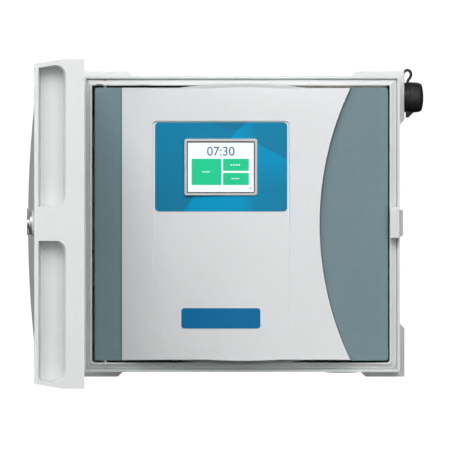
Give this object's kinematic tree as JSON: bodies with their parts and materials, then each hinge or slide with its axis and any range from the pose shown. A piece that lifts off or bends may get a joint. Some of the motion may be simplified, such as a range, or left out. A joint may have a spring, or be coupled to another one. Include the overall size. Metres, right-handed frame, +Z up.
{
  "type": "irrigation controller",
  "caption": "Wall-mounted irrigation controller: a plastic cabinet with a lockable hinged door and a swing-out touch-screen facepack over its terminals and transformer.",
  "frame": {"origin": "centre of the cabinet's back face, which lies on the wall", "axes": "+Z up, +X to the right of someone facing the controller, +Y into the wall (the front faces -Y)"},
  "size_m": [0.389, 0.3999, 0.3081],
  "materials": {
    "cabinet_tub": "fine moulded texture",
    "inner_frame": "fine moulded texture",
    "door_catch": "fine moulded texture",
    "door_shell": "fine moulded texture",
    "door_badge": "fine moulded texture",
    "face_frame": "fine moulded texture",
    "face_shell": "fine moulded texture",
    "face_badge": "fine moulded texture",
    "rear_cover": "fine moulded texture",
    "battery_holder": "fine moulded texture",
    "power_module": "fine moulded texture",
    "output_module_1": "fine moulded texture",
    "output_module_2": "fine moulded texture",
    "output_module_3": "fine moulded texture",
    "output_module_4": "fine moulded texture",
    "terminal_board": "fine moulded texture",
    "module_lock_slide": "fine moulded texture",
    "transformer_coil": "fine moulded texture",
    "junction_cover": "fine moulded texture",
    "mains_terminals": "fine moulded texture",
    "conduit_plug": "fine moulded texture",
    "connector_body": "fine moulded texture",
    "connector_nut": "fine moulded texture",
    "connector_insert": "fine moulded texture",
    "ribbon_cable": "fine moulded texture",
    "control_board": "fine moulded texture",
    "lock_nut": "fine moulded texture",
    "overlay_label": "smooth",
    "screen_bezel": "smooth",
    "display_panel": "smooth",
    "rim_gasket": "dull moulded",
    "head_tape": "dull moulded",
    "connector_gasket": "dull moulded",
    "dust_cap": "dull moulded",
    "cap_strap": "dull moulded",
    "door_hinge_pins": "plated",
    "board_screws": "plated",
    "terminal_screws": "plated",
    "transformer_screws": "plated",
    "transformer_bracket": "plated",
    "transformer_core": "plated",
    "junction_cover_screw": "plated",
    "mains_terminal_screws": "plated",
    "facepack_pivots": "plated",
    "cover_screws": "plated",
    "coin_cell": "plated",
    "wireless_module": "plated",
    "lock_housing": "plated",
    "lock_plug": "plated",
    "lock_cam": "plated",
    "cam_screw": "plated",
    "ground_lug": "plain",
    "connector_pins": "plain",
    "touch_glass": "clear",
    "fuse": "clear"
  },
  "bodies": {
    "cabinet": {"cabinet_tub": "cabinet_tub", "inner_frame": "inner_frame", "rim_gasket": "rim_gasket", "head_tape": "head_tape", "door_catch": "door_catch", "door_hinge_pins": "door_hinge_pins", "terminal_board": "terminal_board", "board_screws": "board_screws", "power_module": "power_module", "fuse": "fuse", "output_module_1": "output_module_1", "output_module_2": "output_module_2", "output_module_3": "output_module_3", "output_module_4": "output_module_4", "terminal_screws": "terminal_screws", "transformer_core": "transformer_core", "transformer_coil": "transformer_coil", "transformer_bracket": "transformer_bracket", "transformer_screws": "transformer_screws", "junction_cover": "junction_cover", "junction_cover_screw": "junction_cover_screw", "mains_terminals": "mains_terminals", "mains_terminal_screws": "mains_terminal_screws", "ground_lug": "ground_lug", "conduit_plug": "conduit_plug", "connector_body": "connector_body", "connector_gasket": "connector_gasket", "connector_nut": "connector_nut", "connector_insert": "connector_insert", "connector_pins": "connector_pins"},
    "module_lock": {"module_lock_slide": "module_lock_slide"},
    "facepack": {"face_frame": "face_frame", "facepack_pivots": "facepack_pivots", "rear_cover": "rear_cover", "cover_screws": "cover_screws", "battery_holder": "battery_holder", "coin_cell": "coin_cell", "face_shell": "face_shell", "overlay_label": "overlay_label", "face_badge": "face_badge", "screen_bezel": "screen_bezel", "touch_glass": "touch_glass", "display_panel": "display_panel", "control_board": "control_board", "wireless_module": "wireless_module", "ribbon_cable": "ribbon_cable"},
    "door": {"door_shell": "door_shell", "door_badge": "door_badge", "lock_housing": "lock_housing", "lock_nut": "lock_nut"},
    "lock": {"lock_plug": "lock_plug", "lock_cam": "lock_cam", "cam_screw": "cam_screw"},
    "cap": {"dust_cap": "dust_cap", "cap_strap": "cap_strap"}
  },
  "joints": [
    {"name": "door_swing", "type": "hinge", "parent": "cabinet", "child": "door", "pos_m": [-0.1615, -0.076, 0], "axis": [0, 0, 1], "range_deg": [-22.3, 87.7]},
    {"name": "facepack_swing", "type": "hinge", "parent": "cabinet", "child": "facepack", "pos_m": [-0.1355, -0.0735, 0], "axis": [0, 0, 1], "range_deg": [-90, 0], "deforming": ["ribbon_cable"]},
    {"name": "lock_turn", "type": "hinge", "parent": "door", "child": "lock", "pos_m": [-0.17362, -0.37222, 0.0007], "axis": [-0.9992, -0.0401, 0], "range_deg": [0, 90]},
    {"name": "module_lock_slide", "type": "slide", "parent": "cabinet", "child": "module_lock", "axis": [1, 0, 0], "range_m": [0, 0.008]},
    {"name": "cap_pull", "type": "slide", "parent": "cabinet", "child": "cap", "axis": [1, 0, 0], "range_m": [0, 0.03], "deforming": ["cap_strap"]}
  ]
}
